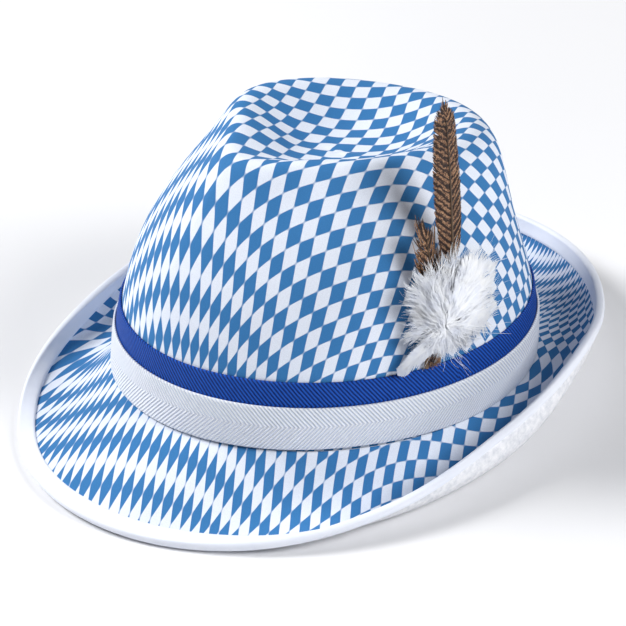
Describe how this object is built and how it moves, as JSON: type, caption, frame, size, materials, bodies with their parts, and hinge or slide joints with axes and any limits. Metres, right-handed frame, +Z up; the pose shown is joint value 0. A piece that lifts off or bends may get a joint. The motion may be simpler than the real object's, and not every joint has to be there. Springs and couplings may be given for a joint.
{
  "type": "tyrolean hat",
  "caption": "Cloth hat in a blue and white lozenge pattern, with a pinched crown, a snapped brim, two tapes round the crown and a tuft of feathers on the left side.",
  "frame": {"origin": "middle of the bottom of the hat's box, on the surface that it rests on", "axes": "+Z up; the front of the hat faces -Y; the wearer's left side, with the feathers, faces +X"},
  "size_m": [0.2372, 0.2922, 0.1699],
  "materials": {
    "lozenge_cloth": "plain woven cloth printed with blue and white lozenges",
    "white_binding": "smooth white bias tape",
    "blue_herringbone": "royal blue herringbone tape",
    "white_herringbone": "white herringbone tape",
    "barred_feather": "brown pheasant feather with dark bars",
    "quill_horn": "bare horn-coloured feather shaft",
    "white_down": "loose white down"
  },
  "bodies": {
    "root": {"crown": "lozenge_cloth", "brim": "lozenge_cloth", "edge_binding": "white_binding", "blue_tape": "blue_herringbone", "white_tape": "white_herringbone", "pheasant_feather": "barred_feather", "small_feather": "barred_feather", "quill": "quill_horn", "white_plume": "white_down"}
  },
  "joints": []
}
